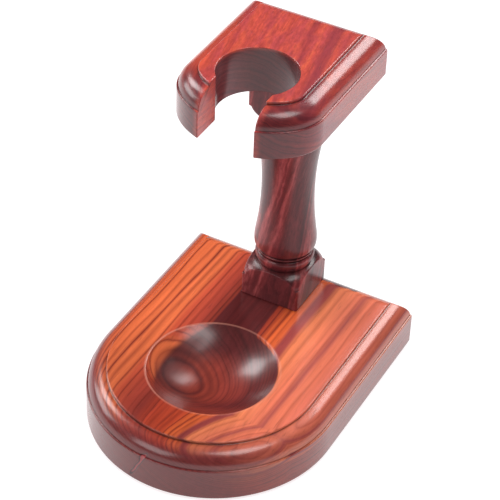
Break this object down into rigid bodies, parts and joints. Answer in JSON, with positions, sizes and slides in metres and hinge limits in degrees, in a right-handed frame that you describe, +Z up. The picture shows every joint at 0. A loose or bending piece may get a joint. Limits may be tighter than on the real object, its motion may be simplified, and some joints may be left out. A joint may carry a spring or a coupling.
{
  "type": "razor stand",
  "caption": "Wooden stand with a dished base board, a turned post and a slotted top plate that hangs a shaving brush or razor over the base.",
  "frame": {"origin": "centre of the overall box in plan, at the underside of the feet", "axes": "+Z up; the round front and the open mouth face -Y, the straight back faces +Y, +X is the stand's width"},
  "size_m": [0.09, 0.1128, 0.13],
  "materials": {
    "base_wood": "orange-brown striped rosewood under semi-gloss lacquer",
    "post_wood": "dark maroon rosewood under semi-gloss lacquer",
    "plate_wood": "red mottled rosewood under semi-gloss lacquer",
    "dowel_wood": "plain unfinished beech",
    "steel": "zinc-plated steel",
    "foot_felt": "dark pressed felt"
  },
  "bodies": {
    "root": {"base_board": "base_wood", "post": "post_wood", "top_plate": "plate_wood", "post_screw": "steel", "screw_washer": "steel", "plate_dowel": "dowel_wood", "foot_front_left": "foot_felt", "foot_front_right": "foot_felt", "foot_back_left": "foot_felt", "foot_back_right": "foot_felt"}
  },
  "joints": []
}
